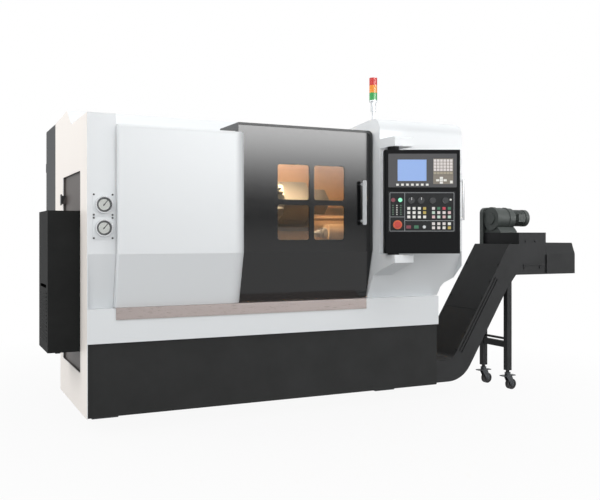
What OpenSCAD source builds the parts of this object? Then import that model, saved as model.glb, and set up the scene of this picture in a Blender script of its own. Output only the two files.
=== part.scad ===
// CNC turning lathe with side chip conveyor, all lengths in millimetres.
// +X runs to the right along the front, +Y to the back, +Z up, floor at zero.
// Heights inside the modules are counted from the underside of the base.

/* [Base and enclosure] */
// length of the base along the front
base_len = 2210; // [2150:5:2300]
// depth of the base
base_depth = 904; // [890:2:930]
// clear height under the base
foot_h = 88; // [80:1:110]
// top edge of the black apron
apron_h = 390; // [370:1:410]
// top edge of the pale band over the apron
band_top = 575; // [560:1:590]
// height of the crease in the front
crease_z = 860; // [840:1:880]
// how far the front leans in under the crease
slant_in = 75; // [60:1:80]
// height of the enclosure front and of the door
top_z = 1600; // [1590:1:1640]
// height of the raised rear ridge
ridge_z = 1700; // [1690:1:1760]
// depth of the upper enclosure
body_depth = 1120; // [1110:1:1160]
// sheet thickness of all covers
sheet = 4; // [3:0.5:5]
// width of the left corner column
column_w = 150; // [145:1:156]
// width of the electrical cabinet
cab_w = 1000; // [900:5:1100]
// depth of the electrical cabinet
cab_d = 425; // [400:1:450]

/* [Sliding door] */
// left edge of the door, hidden behind the fixed cover
door_x0 = 840; // [830:1:850]
// right edge of the door
door_x1 = 1716; // [1706:1:1720]
// depth of the door frame
door_d = 50; // [44:1:54]
// how far the door wraps over the roof
wrap_d = 310; // [280:1:318]
// side of a square window
window = 205; // [190:1:212]
// bar between two windows
mullion = 31; // [24:1:40]
// how far the fixed front cover stands forward of the door
cover_out = 50; // [40:1:54]

/* [Right hood] */
// left face of the hood
hood_x0 = 1722; // [1721:1:1730]
// how far the hood overhangs the right end of the base
hood_over = 124; // [100:1:140]
// how far the hood stands forward of the door
hood_out = 80; // [70:1:90]
// top of the hood
hood_z = 1676; // [1660:1:1686]

/* [Spindle and slides] */
// spindle axis, from the front plane
spindle_y = 400; // [396:1:404]
// spindle axis, above the base underside
spindle_z = 975; // [970:1:980]
// bore through spindle and chuck, radius
bore_r = 26; // [20:0.5:30]
// chuck radius
chuck_r = 105; // [95:1:108]
// spindle radius in the headstock
spindle_r = 45; // [40:0.5:46]
// spindle axis above the slanted guide plane
swing_n = 260; // [256:1:264]
// pulley radius
pulley_r = 95; // [85:1:98]
// turret disc radius to its corners
disc_r = 130; // [115:1:134]

/* [Operator pendant] */
// width of the pendant
pendant_w = 445; // [430:1:460]
// underside of the pendant
pendant_z0 = 852; // [848:1:858]
// height of the pendant
pendant_h = 610; // [604:1:616]
// thickness of the pendant
pendant_t = 90; // [80:1:100]
// swivel of the pendant toward the operator, degrees
pendant_turn = 25.5; // [15:0.5:35]

/* [Chip conveyor] */
// front plate of the conveyor, from the front plane
conv_y0 = 28; // [26:0.5:32]
// outer width of the conveyor
conv_w = 366; // [350:1:368]
// rise of the conveyor, degrees
conv_rise = 58; // [56:0.5:60]
// height of the trough
conv_t = 140; // [130:1:150]
// how far the conveyor runs out of the base before it rises
bend_out = 102; // [80:1:120]

/* [Hidden] */
gap = 0.3;
run = 0.08;
x_org = base_len / 2;
// back of the conveyor space; the feet stand behind it
conv_back = conv_y0 + conv_w + 2;
foot_x = 170;
foot_y = [conv_back + 24, base_depth - 84];
y_org = (foot_y[0] + foot_y[1]) / 2;
hood_x1 = base_len + hood_over;
bed_x1 = base_len - 70;
panel_y0 = 200;
panel_y1 = base_depth - 104;
// left front cover: its depth, right end and the arc of its rounded return
cover_d = cover_out - 5;
cover_x1 = 870;
turn_r = 90;
turn_a = acos(1 - (cover_d - 1) / turn_r);
cover_cx = cover_x1 - turn_r * sin(turn_a);
tail_x = -160;
screw_r = 16;
screw_n = -8;
guard_x1 = base_len - 60;
guard_y1 = body_depth - 120;
cab_y1 = body_depth + cab_d;
cab_z1 = ridge_z - 20;
slant_a = atan(slant_in / (crease_z - band_top));
hood_in = 70;
hood_a = atan((hood_out + hood_in) / (crease_z - band_top + sheet));
slant_y = spindle_y + swing_n * sin(45);
slant_z = spindle_z - swing_n * cos(45);
motor_z = 455;
piv_x = hood_x0 + 22;
piv_y = -196;
// room between the pendant and its lower arm
arm_gap = 8;
mast_x = hood_x0 + 68;
mast_y = 110;
conv_bend_x = base_len + bend_out;
head_x0 = conv_bend_x + 583;
head_x1 = head_x0 + 240;
chute_x1 = head_x1 + 269;
head_z0 = 690;
head_z1 = 975;
bend_r = 200;
bend_z = 8 + bend_r;
// step where the rise laps the bend
lap = 0.5;
shaft_x = head_x0 + 120;
shaft_z = 835;
leg_w = 38;
leg_x = conv_bend_x + 503;
leg_y = [conv_y0 + 2, conv_y0 + 257];
// emergency stop: height of its axis and its press
stop_z = 1021;
stop_travel = 6;
knob_x = [100, 157];
knob_z = 1163;
caster_z = 43;
stem_z = caster_z - 14;
wheel_r = 36;
$fn = 64;

// Helpers

module place() {
    translate([-x_org, -y_org, foot_h]) children();
}

module box(x0, x1, y0, y1, z0, z1) {
    translate([x0, y0, z0]) cube([x1 - x0, y1 - y0, z1 - z0]);
}

// outline in Y and Z, drawn out along X
module along_x(x0, x1) {
    translate([x0, 0, 0]) rotate([90, 0, 90]) linear_extrude(x1 - x0) children();
}

// outline in X and Z, drawn out along Y
module along_y(y0, y1) {
    translate([0, y1, 0]) rotate([90, 0, 0]) linear_extrude(y1 - y0) children();
}

// round bar along X, along Y and upright
module rod_x(x0, x1, y, z, r) {
    translate([x0, y, z]) rotate([0, 90, 0]) cylinder(h = x1 - x0, r = r);
}

module rod_y(y0, y1, x, z, r) {
    translate([x, y1, z]) rotate([90, 0, 0]) cylinder(h = y1 - y0, r = r);
}

module rod_z(z0, z1, x, y, r) {
    translate([x, y, z0]) cylinder(h = z1 - z0, r = r);
}

module round_rect(x0, x1, y0, y1, r) {
    translate([x0 + r, y0]) square([x1 - x0 - 2 * r, y1 - y0]);
    translate([x0, y0 + r]) square([x1 - x0, y1 - y0 - 2 * r]);
    for (x = [x0 + r, x1 - r], y = [y0 + r, y1 - r]) translate([x, y]) circle(r);
}

// a plan outline carried up from the crease and, leaning in, down from it;
// a slit leaves the two as separate sheets that butt at the crease
module bent(y0, a, up, down, slit) {
    translate([0, y0, crease_z]) {
        intersection() {
            translate([0, 0, -60]) linear_extrude(up + 60) children();
            rotate([a / 2, 0, 0]) translate([-100, -900, 0]) cube([3000, 1800, 2000]);
        }
        intersection() {
            rotate([a, 0, 0]) translate([0, 0, -down]) linear_extrude(down + 60) children();
            rotate([a / 2, 0, 0]) translate([-100, -900, -1000]) cube([3000, 1800, 1000 - slit]);
        }
    }
}

// frame of the slanted guide plane: x, s up the slope, n off the plane
module on_slant() {
    translate([0, slant_y, slant_z]) rotate([45, 0, 0]) children();
}

module on_pendant() {
    translate([piv_x, piv_y, 0]) rotate([0, 0, -pendant_turn]) children();
}

// Base

module base_frame() {
    color("#DCD8D2") place() difference() {
        box(sheet, base_len - sheet, 24, base_depth - sheet, 0, 480);
        // conveyor space, open to the front and to the right
        box(445, base_len + 50, 0, conv_back, 8, 395);
        box(745, guard_x1 - 4, 78, conv_back, 300, 600);
        // seat of the access panel
        box(-1, 18, panel_y0 - 12, panel_y1 + 12, 198, 600);
        // motor bay, open to the left
        box(-1, 440, 240, 560, 300, 600);
        // drained rear space
        box(500, base_len - 560, conv_back + 74, base_depth + 10, 60, 420);
    }
}

module levelling_feet() {
    color("#55585A") place() for (x = [foot_x, base_len - foot_x], y = foot_y) {
        side = x < x_org ? -1 : 1;
        difference() {
            box(x - 75, x + 75, y - 44, y + 44, -foot_h, -foot_h + 20);
            rod_z(-foot_h - 1, -foot_h + 21, x + side * 45, y, 9);
        }
        rod_z(-foot_h + 20, 0, x - side * 20, y, 14);
        translate([x - side * 20, y, -18]) cylinder(h = 18, r = 26, $fn = 6);
    }
}

module front_apron() {
    color("#2E2F30") place() box(sheet, base_len, 24 - sheet, 24, 0, apron_h - 2);
}

module front_band() {
    color("#E3E6E8") place() difference() {
        union() {
            box(sheet, base_len, 0, sheet, apron_h, band_top - sheet);
            box(sheet, base_len, 0, 100, band_top - 2 * sheet, band_top - sheet);
            box(sheet, base_len, 0, 24, apron_h, apron_h + sheet);
            box(base_len - sheet, base_len, 0, 100, apron_h, band_top - sheet);
        }
        box(-1, sheet, -1, 120, 0, band_top);
    }
}

module door_sill() {
    color("#C9C2BE") place() difference() {
        union() {
            box(column_w, hood_x0 - 49, -6, 0, band_top - 63, band_top);
            box(column_w, hood_x0 - 49, -6, 100, band_top - sheet, band_top);
        }
        // drain groove
        box(column_w + 20, hood_x0 - 69, 84, 92, band_top - 2, band_top + 1);
    }
}

// Left end

module left_end_cover() {
    color("#E6E1DC") place() difference() {
        union() {
            along_x(0, sheet) polygon([
                [0, 0], [base_depth, 0], [base_depth, 600], [body_depth, 600],
                [body_depth, ridge_z - 20], [650, ridge_z], [500, top_z], [0, top_z]
            ]);
            box(sheet, column_w, 0, sheet, crease_z, top_z);
            along_x(sheet, column_w) polygon([
                [0, crease_z], [sheet, crease_z],
                [slant_in + sheet, band_top - sheet], [slant_in, band_top - sheet]
            ]);
            box(column_w - sheet, column_w, 0, 54, crease_z + 20, top_z);
            box(sheet, column_w, 0, 500, top_z - sheet, top_z);
        }
        along_x(-1, sheet + 1) round_rect(panel_y0, panel_y1, 210, 1310, 10);
        for (z = [997, 1119]) rod_y(-1, sheet + 1, 85, z, 38 + gap);
    }
}

module side_access_panel() {
    color("#5B5551") place() {
        difference() {
            box(sheet, 18, panel_y0 - 10, panel_y1 + 10, 200, 1320);
            box(sheet - 1, 14, panel_y0, panel_y1, 210, 1310);
            rod_x(0, 20, spindle_y, spindle_z, 58);
            rod_x(0, 20, spindle_y, motor_z, 58);
        }
        // latch bar with its grip
        box(-12, 14, panel_y1 - 30, panel_y1 - 4, 1150, 1200);
        box(-18, -12, panel_y1 - 38, panel_y1 - 2, 1142, 1208);
    }
}

module belt_guard() {
    y0 = 212;
    y1 = 565;
    x0 = tail_x - 4 - sheet;
    color("#232425") place() {
        difference() {
            box(x0, 14, y0, y1, 327, 1092);
            box(x0 + sheet, 30, y0 + sheet, y1 - sheet, 331, 1088);
            for (i = [0:13]) box(x0 - 8, x0 + 8, y0 + 40, y1 - 40, 382 + i * 20, 390 + i * 20);
            // grip slot
            box(x0 - 8, x0 + 8, y0 + 60, y1 - 60, 672, 690);
        }
        // louvre lips
        for (i = [0:13]) along_y(y0 + 36, y1 - 36) polygon([
            [x0 + 2, 391 + i * 20], [x0 + 2, 394 + i * 20], [x0 - 4, 386 + i * 20], [x0 - 4, 384 + i * 20]
        ]);
    }
}

module gauge_panel() {
    color("#DADCDD") place() {
        for (z = [997, 1119]) {
            difference() {
                box(28, 138, -3, 0, z - 60, z + 60);
                rod_y(-4, 1, 85, z, 38 + gap);
            }
            // case, bezel, dial and lens of one gauge
            difference() {
                union() {
                    rod_y(-26, -3, 85, z, 45);
                    rod_y(-3, 46, 85, z, 38);
                }
                rod_y(-27, -8, 85, z, 39);
            }
            rod_y(-16, -14, 85, z, 39);
            rod_y(-17, -15, 85, z, 29);
            translate([85, -14, z]) rotate([0, 40, 0]) translate([-2, -5, -8]) cube([4, 1.5, 36]);
            rod_y(-24, -20, 85, z, 39);
            rod_y(-19, -8, 85, z, 4);
            for (x = [34, 131], dz = [-53, 53]) rod_y(-7, -3, x, z + dz, 5);
        }
    }
}

// Front covers

// plan of a front cover: two front corners rounded in flat steps, open to the back
function arc(x, y, r, a0, sweep) =
    [for (i = [0:8]) [x + r * cos(a0 + i * sweep / 8), y + r * sin(a0 + i * sweep / 8)]];

module cover_plan(x0, d, rl, rr, sweep) {
    polygon(concat(
        [[x0, d]], arc(x0 + rl, rl, rl, 180, 90), arc(cover_cx, rr, rr, 270, sweep),
        [[cover_cx + rr * sin(sweep), d]]
    ));
}

// what a rounded upper front edge takes off, along the whole cover
module edge_cut(y, z, r) {
    along_x(100, 1000) polygon(concat([[y - 5, z + 5], [y - 5, z - r]],
        [for (i = [0:4]) [y + r - r * cos(i * 22.5), z - r + r * sin(i * 22.5)]], [[y + r, z + 5]]));
}

module left_front_cover() {
    d = cover_d;
    down = (crease_z - band_top) / cos(slant_a) + 20;
    top = 1540;
    r = 15;
    color("#E8EBED") place() difference() {
        union() {
            bent(-cover_out, slant_a, top - crease_z - 10, down, gap) difference() {
                cover_plan(column_w, d, 10, turn_r, turn_a);
                translate([0, sheet])
                    cover_plan(column_w + sheet, d + 20, 10 - sheet, turn_r - sheet, turn_a + 15);
            }
            // thick upper rim
            translate([0, -cover_out, top - r - 1]) linear_extrude(r + 1)
                cover_plan(column_w, d, 10, turn_r, turn_a);
        }
        edge_cut(-cover_out, top, r);
        box(100, 1000, -200, 300, 0, band_top);
    }
}

module hood_side(inset) {
    y0 = -hood_out + inset;
    z0 = band_top - sheet + inset;
    z1 = hood_z - inset;
    r = 86 - inset;
    difference() {
        polygon([
            [y0, crease_z], [y0, z1], [y0 + r, z1], [498 - inset, 1632 - inset],
            [498 - inset, z0], [hood_in + inset * 1.2, z0]
        ]);
        // rounded upper front edge
        difference() {
            translate([y0 - 1, z1 - r]) square([r + 1, r + 1]);
            translate([y0 + r, z1 - r]) circle(r);
        }
        if (inset > 0) translate([430, 0]) square([200, 1590]);
    }
}

module right_front_hood() {
    color("#E3E6E8") place() difference() {
        union() {
            along_x(hood_x0, hood_x1) hood_side(0);
            // the right end plate stays forward under the crease
            along_x(hood_x1 - sheet, hood_x1) polygon([
                [-hood_out, crease_z + 1], [-hood_out, crease_z - 92], [20, crease_z - 185], [40, crease_z + 1]
            ]);
        }
        along_x(hood_x0 + sheet, hood_x1 - sheet) hood_side(sheet);
        // the left wall only closes the step beside the door and over the roof
        along_x(hood_x0 - 1, hood_x1 - sheet) polygon([
            [80, 0], [80, 620], [58, 660], [58, 1596],
            [494, 1596], [494, 1628 - sheet], [600, 1628], [600, 0]
        ]);
        // relief over the conveyor
        along_y(-300, 600) polygon([
            [base_len + 38, 400], [base_len + 38, 572], [base_len + 44, 625], [base_len + 62, 652],
            [hood_x1 + 10, 690], [hood_x1 + 10, 400]
        ]);
    }
}

module roof_line(down) {
    polygon([
        [62, 1556 - down], [320, 1590 - down], [500, top_z - down], [650, ridge_z - down],
        [body_depth, ridge_z - 20 - down], [body_depth, ridge_z - 20 - down - sheet],
        [650, ridge_z - down - sheet], [500, top_z - down - sheet],
        [320, 1590 - down - sheet], [62, 1556 - down - sheet]
    ]);
}

module roof_cover() {
    color("#DFE3E6") place() difference() {
        union() {
            along_x(sheet, hood_x1) roof_line(0);
            box(column_w, 884, 62, 66, 1500, 1553);
            along_x(hood_x1 - sheet, hood_x1) polygon([
                [500, 700], [500, top_z - 1], [650, ridge_z - 1], [body_depth, ridge_z - 21],
                [body_depth, 700]
            ]);
        }
        // corner column, loading opening under the door and hood each have their own top
        box(0, column_w + gap, 0, 500, 1400, 1650);
        box(884, hood_x0, 0, 330, 1400, 1650);
        box(hood_x0, hood_x1 + 66, 0, 499, 0, 1800);
    }
}

module rear_cover() {
    color("#D9D9D6") place() {
        box(sheet, hood_x1 - sheet, body_depth - sheet, body_depth, 600, ridge_z - 20 - sheet);
        box(sheet, base_len, base_depth, body_depth - sheet, 600, 600 + sheet);
        box(sheet, base_len, base_depth - sheet, base_depth, 0, 600 + sheet);
        // right end of the lower body
        box(base_len - sheet, base_len, conv_back, base_depth - sheet, 480, 690);
    }
}

// separate plates that butt, each bent or cut from one sheet
module inner_guards() {
    wall = [
        [132, 480], [conv_back - 6, 480], [conv_back - 6, 640], [440, 690], [890, 1165], [guard_y1, 1165],
        [guard_y1, 1540], [67, 1540], [67, 900], [132, 860]
    ];
    x0 = 740 + gap;
    x1 = guard_x1 - gap;
    color("#B9B2A6") place() {
        difference() {
            along_x(736, 740) polygon(wall);
            rod_x(700, 800, spindle_y, spindle_z, 96);
        }
        along_x(guard_x1, guard_x1 + sheet) polygon(wall);
        box(x0, x1, guard_y1 - sheet, guard_y1, 1165, 1540);
        // chip slides
        box(x0, x1, 74, 78, 480, band_top - 2 * sheet);
        along_x(x0, x1) polygon([
            [conv_back - 8, 480], [conv_back - 4, 480], [448, 656], [444, 656]
        ]);
    }
}

module work_lamp() {
    color("#FFF1D2") place() {
        box(1000, 1600, 345, 405, top_z - 52, top_z - 16);
        for (x = [1080, 1520]) rod_z(top_z - 16, top_z - 12, x, 375, 12);
    }
}

// Rear cabinet

module electrical_cabinet() {
    y0 = body_depth;
    color("#45494D") place() {
        difference() {
            box(0, cab_w, y0, cab_y1, 190, cab_z1);
            box(sheet, cab_w - sheet, y0 + sheet, cab_y1 + 50, 190 + sheet, cab_z1 - sheet);
        }
        // mounting plate with drive modules
        box(40, cab_w - 40, y0 + sheet, y0 + 10, 240, cab_z1 - 50);
        for (i = [0:4]) box(90 + i * 160, 220 + i * 160, y0 + 10, y0 + 210, 1080, 1460);
        box(90, cab_w - 100, y0 + 10, y0 + 100, 700, 900);
        box(90, 560, y0 + 10, y0 + 160, 320, 560);
    }
}

module cabinet_door() {
    y1 = cab_y1 + 25;
    color("#4B5054") place() {
        difference() {
            box(2, cab_w - 2, cab_y1 + gap, y1, 192, cab_z1 - 2);
            box(12, cab_w - 12, cab_y1 - 5, y1 - sheet, 202, cab_z1 - 12);
        }
        // handle
        box(cab_w - 70, cab_w - 42, y1, y1 + 20, 880, 1020);
        // hinge knuckles
        for (z = [400, 1400]) rod_z(z, z + 60, 6, y1 + 4, 6);
    }
}

// Pendant carrier and signal tower

module pendant_brackets() {
    x0 = hood_x0;
    x1 = hood_x0 + 130;
    color("#DADDDF") place() {
        difference() {
            along_x(x0, x1) polygon([
                [-250, 1484], [-250, 1530], [-239, 1541], [-hood_out, 1541], [-hood_out, 1484]
            ]);
            rod_z(1470, 1516, piv_x, piv_y, 14 + run);
        }
        z1 = pendant_z0 - arm_gap;
        root = (crease_z - z1) * tan(hood_a) - hood_out;
        foot = (crease_z - z1 + 132) * tan(hood_a) - hood_out;
        difference() {
            along_x(x0, x1) polygon([
                [-250, z1], [-250, z1 - 46], [-120, z1 - 84], [foot, z1 - 132], [root, z1]
            ]);
            rod_z(z1 - 32, z1 + 8, piv_x, piv_y, 14 + run);
        }
    }
}

module signal_mast() {
    z0 = hood_z - (mast_y - 6) * (hood_z - 1632) / 492;
    color("#E9EAEA") place() {
        rod_z(z0 + 8, 1738, mast_x, mast_y, 8);
        rod_z(z0 + 2.4, z0 + 10, mast_x, mast_y, 24);
        rod_z(1738, 1800, mast_x, mast_y, 16);
        rod_z(1800, 1810, mast_x, mast_y, 25);
    }
}

module lamp(z) {
    place() difference() {
        rod_z(z, z + 47, mast_x, mast_y, 25);
        for (i = [0:2]) translate([mast_x, mast_y, z + 11 + i * 12])
            rotate_extrude() translate([24, 0]) square([3, 3]);
    }
}

module lamp_green() {
    color("#2F9E57") lamp(1810);
}

module lamp_amber() {
    color("#F0A325") lamp(1857);
}

module lamp_red() {
    color("#D5412F") lamp(1904);
}

// Machine inside

module slant_bed() {
    color("#6E7A80") place() {
        difference() {
            along_x(445, bed_x1) polygon([
                [450, 480], [450, slant_z - slant_y + 450], [slant_y + 297, slant_z + 297],
                [slant_y + 311, slant_z + 297], [slant_y + 311, 480]
            ]);
            // the foot of the bed ends inside the base
            box(0, base_len, base_depth - 9, base_depth + 300, 400, 620);
            on_slant() box(740, bed_x1 + 60, 222, 278, -36, 40);
        }
        on_slant() for (s = [-185, 25, 85, 385]) box(760, bed_x1 - 10, s, s + 30, -2, 25);
    }
}

module headstock() {
    k = slant_z - slant_y;
    color("#7C878C") place() difference() {
        union() {
            along_x(445, 720) polygon([
                [460, 460 + k], [700, 700 + k], [700, 960], [520, 1110], [315, 1110],
                [275, 1070], [275, 880]
            ]);
            along_x(90, 445) polygon([
                [275, 880], [275, 1070], [315, 1110], [490, 1110], [530, 1070], [530, 850], [305, 850]
            ]);
            rod_x(720, 732, spindle_y, spindle_z, 88);
            rod_x(60, 90, spindle_y, spindle_z, 80);
        }
        rod_x(0, 800, spindle_y, spindle_z, spindle_r + run);
        for (i = [0:7]) box(130 + i * 34, 142 + i * 34, 260, 284, 900, 1050);
    }
}

module spindle_motor() {
    color("#3F464B") place() difference() {
        union() {
            rod_x(18, 400, spindle_y, motor_z, 112);
            box(60, 360, spindle_y - 95, spindle_y + 95, 300, 380);
            box(120, 300, spindle_y - 60, spindle_y + 60, 540, 585);
        }
        rod_x(0, 66, spindle_y, motor_z, 24 + run);
        for (i = [0:9]) rotate_ring(150 + i * 20);
    }
}

module rotate_ring(x) {
    difference() {
        rod_x(x, x + 8, spindle_y, motor_z, 120);
        rod_x(x - 1, x + 9, spindle_y, motor_z, 105);
        box(x - 1, x + 9, spindle_y - 110, spindle_y + 110, 300, 400);
        box(x - 1, x + 9, spindle_y - 70, spindle_y + 70, 500, 600);
    }
}

module drive_belt() {
    color("#1E1F20") place() difference() {
        union() {
            for (z = [motor_z, spindle_z]) rod_x(-64, -22, spindle_y, z, pulley_r + 7);
            box(-64, -22, spindle_y - pulley_r - 7, spindle_y + pulley_r + 7, motor_z, spindle_z);
        }
        for (z = [motor_z, spindle_z]) rod_x(-70, -10, spindle_y, z, pulley_r + gap);
        box(-70, -10, spindle_y - pulley_r - gap, spindle_y + pulley_r + gap, motor_z, spindle_z);
    }
}

module z_servo() {
    color("#30353A") place() on_slant() difference() {
        union() {
            box(bed_x1, bed_x1 + 10, 200, 300, -58, 36);
            box(bed_x1 + 10, bed_x1 + 150, 207, 293, -51, 30);
            box(bed_x1 + 90, bed_x1 + 140, 225, 275, 30, 55);
        }
        translate([bed_x1 - 40, 250, screw_n]) rotate([0, 90, 0]) cylinder(h = 80, r = 12 + run);
    }
}

module z_screw() {
    color("#AEB4B8") place() on_slant() {
        translate([800, 250, screw_n]) rotate([0, 90, 0]) cylinder(h = bed_x1 - 840, r = screw_r);
        translate([760, 250, screw_n]) rotate([0, 90, 0]) cylinder(h = bed_x1 - 730, r = 12);
    }
}

// Spindle group

module spindle() {
    color("#B4B9BC") place() difference() {
        union() {
            rod_x(tail_x, 732.3, spindle_y, spindle_z, spindle_r);
            rod_x(732.3, 760, spindle_y, spindle_z, 80);
            rod_x(-66, -20, spindle_y, spindle_z, pulley_r);
            for (x = [-70, -20]) rod_x(x, x + 4, spindle_y, spindle_z, pulley_r + 12);
            rod_x(tail_x, -76, spindle_y, spindle_z, 80);
        }
        rod_x(-200, 800, spindle_y, spindle_z, bore_r);
    }
}

module chuck_body() {
    color("#8D9499") place() difference() {
        union() {
            rod_x(760, 846, spindle_y, spindle_z, chuck_r);
            rod_x(846, 850, spindle_y, spindle_z, chuck_r - 4);
        }
        rod_x(700, 900, spindle_y, spindle_z, bore_r);
        for (a = [0, 120, 240]) translate([0, spindle_y, spindle_z]) rotate([a, 0, 0])
            box(815, 860, -16, 16, 0, 130);
        for (a = [60, 180, 300]) translate([0, spindle_y, spindle_z]) rotate([a, 0, 0])
            rod_x(838, 860, 0, 76, 8);
    }
}

module jaw(a) {
    w = 16 - gap;
    color("#A9AFB3") place() translate([0, spindle_y, spindle_z]) rotate([a, 0, 0]) difference() {
        union() {
            box(815 + gap, 852, -w, w, 34, chuck_r - 8);
            box(852, 874, -w, w, 42, chuck_r - 8);
            box(874, 896, -w, w, 58, chuck_r - 8);
        }
        for (z = [70, 86]) rod_x(885, 900, 0, z, 4.5);
    }
}

module jaw_1() {
    jaw(0);
}

module jaw_2() {
    jaw(120);
}

module jaw_3() {
    jaw(240);
}

module motor_pulley() {
    color("#5A6064") place() {
        rod_x(-66, -20, spindle_y, motor_z, pulley_r);
        for (x = [-70, -20]) rod_x(x, x + 4, spindle_y, motor_z, pulley_r + 12);
        rod_x(-16, 60, spindle_y, motor_z, 24);
    }
}

// Slides

module saddle() {
    // the gibs and the nut's pad end above the screw
    low = screw_n + screw_r + 4;
    color("#87939A") place() on_slant() {
        box(1330, 1640, 70, 430, 25 + gap, 80);
        for (s = [115 + gap, 365 - gap]) box(1330, 1640, s, s + 20, low, 30);
        box(1440, 1540, 228, 272, low, 30);
        for (x = [1350, 1590]) box(x, x + 30, 75, 430, 80, 100);
        box(1420, 1560, 430, 520, 30, 100);
    }
}

module turret_slide() {
    color("#7B858B") place() on_slant() difference() {
        union() {
            box(1345, 1625, 180, 420, 100 + gap, 140);
            box(1345, 1560, 205, 395, 140, 350);
            box(1560, 1700, 240, 360, 200, 320);
        }
        // guide channels over the cross ways
        translate([1300, 300, swing_n]) rotate([0, 90, 0]) cylinder(h = 130, r = 50 + run);
        for (z = [170, 330]) box(1380, 1540, 200, 212, z, z + 8);
    }
}

module turret_disc() {
    color("#A4ABB0") place() on_slant() translate([0, 300, swing_n]) {
        difference() {
            union() {
                translate([1270, 0, 0]) rotate([0, 90, 0]) cylinder(h = 75 - gap, r = disc_r, $fn = 12);
                translate([1300, 0, 0]) rotate([0, 90, 0]) cylinder(h = 125, r = 50);
            }
            for (i = [0:11]) rotate([i * 30 + 15, 0, 0])
                translate([1290, 0, disc_r * 0.74]) rotate([0, 90, 0]) cylinder(h = 80, r = 6);
            translate([1260, 0, 0]) rotate([0, 90, 0]) cylinder(h = 20, r = 60);
        }
        // tool holders, alternately turning tools and boring bars
        for (i = [0:5]) rotate([i * 60 + 15, 0, 0]) {
            box(1278, 1332, -26, 26, disc_r * 0.92, disc_r + 24);
            if (i % 2 == 0) box(1290, 1310, -10, 10, disc_r + 24, disc_r + 44);
            if (i % 2 == 1) rod_x(1258, 1278, 0, disc_r + 4, 14);
        }
    }
}

module tailstock() {
    color("#7F8A90") place() on_slant() difference() {
        union() {
            box(1600, 1850, -186, 60, 25 + gap, 90);
            for (s = [-155 + gap, 5 - gap]) box(1600, 1850, s, s + 20, 5, 30);
            box(1620, 1830, -58, 50, 90, swing_n);
            translate([1600, 0, swing_n]) rotate([0, 90, 0]) cylinder(h = 250, r = 58);
        }
        translate([1590, 0, swing_n]) rotate([0, 90, 0]) cylinder(h = 300, r = 35 + run);
    }
}

module quill() {
    color("#C2C6C9") place() on_slant() {
        translate([1570, 0, swing_n]) rotate([0, 90, 0]) cylinder(h = 275, r = 35);
        translate([1550, 0, swing_n]) rotate([0, 90, 0]) cylinder(h = 20, r = 28);
        translate([1512, 0, swing_n]) rotate([0, 90, 0]) cylinder(h = 38, r1 = 2, r2 = 24);
    }
}

// Sliding door

module window_holes(grow) {
    for (i = [0, 1], j = [0, 1]) {
        x = 1082 + i * (window + mullion);
        z = 932 + j * (window + mullion);
        round_rect(x - grow, x + window + grow, z - grow, z + window + grow, 15);
    }
}

// section of the door's skin between two depths behind its front face
module door_side(d0, d1) {
    z0 = band_top + 0.5;
    function low(d) = [d / cos(slant_a) + (crease_z - z0) * tan(slant_a), z0];
    function fold(d) = [d, crease_z + d * tan(slant_a / 2)];
    polygon([[d0, top_z], fold(d0), low(d0), low(d1), fold(d1), [d1, top_z]]);
}

module door_panel() {
    color("#3A3B3D") place() difference() {
        union() {
            along_x(door_x0, door_x1) door_side(0, sheet);
            for (x = [door_x0, door_x1 - sheet]) along_x(x, x + sheet) door_side(0, door_d);
            // wrap over the roof with its two end plates
            box(door_x0, door_x1, 0, wrap_d, top_z - sheet, top_z);
            for (x = [door_x0, door_x1 - sheet]) along_x(x, x + sheet) polygon([
                [0, 1548], [62, 1557], [wrap_d, 1590], [wrap_d, top_z], [0, top_z]
            ]);
            // frame that holds the panes from behind
            difference() {
                box(1058, 1543, sheet - 1, sheet + 9, 908, 1397);
                along_y(sheet, sheet + 6) window_holes(9 + gap);
            }
            // raised edging along the top and the right side
            along_y(-4, 0) difference() {
                translate([door_x0, crease_z + 5]) square([door_x1 - door_x0, top_z - crease_z - 5]);
                translate([door_x0 - 1, crease_z]) square([door_x1 - door_x0 - 13, top_z - crease_z - 44]);
                translate([door_x0 - 1, crease_z]) square([door_x1 - door_x0 - 43, top_z - crease_z - 14]);
                translate([door_x1 - 44, top_z - 44]) circle(30);
            }
        }
        along_y(-20, 60) window_holes(0);
        // rounded upper right corner
        along_y(-20, 400) difference() {
            translate([door_x1 - 30, top_z - 30]) square([40, 40]);
            translate([door_x1 - 30, top_z - 30]) circle(30);
        }
    }
}

module door_glass() {
    color("#C9B48C") place() along_y(sheet, sheet + 6) window_holes(9);
}

module door_handle() {
    color("#D5D8DA") place() {
        along_y(-40, -32) round_rect(1630, 1655, 1022, 1293, 10);
        for (z = [1046, 1269]) rod_y(-32, 0, 1642, z, 8);
    }
}

// Operator pendant

module pendant_case() {
    f = -pendant_t / 2;
    color("#1B1D20") place() on_pendant() difference() {
        union() {
            translate([0, 0, pendant_z0]) linear_extrude(pendant_h)
                round_rect(-55, pendant_w - 55, f, -f, 10);
            rod_z(pendant_z0 + pendant_h, 1484 - gap, 0, 0, 34);
            rod_z(1484 - gap, 1512, 0, 0, 14);
            rod_z(pendant_z0 - arm_gap + gap, pendant_z0, 0, 0, 34);
            rod_z(pendant_z0 - arm_gap - 26, pendant_z0 - arm_gap + gap, 0, 0, 14);
        }
        // room for the stem of the emergency stop
        rod_y(f - 1, f + stop_travel + 2, 18, stop_z, 12 + run);
    }
}

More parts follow.
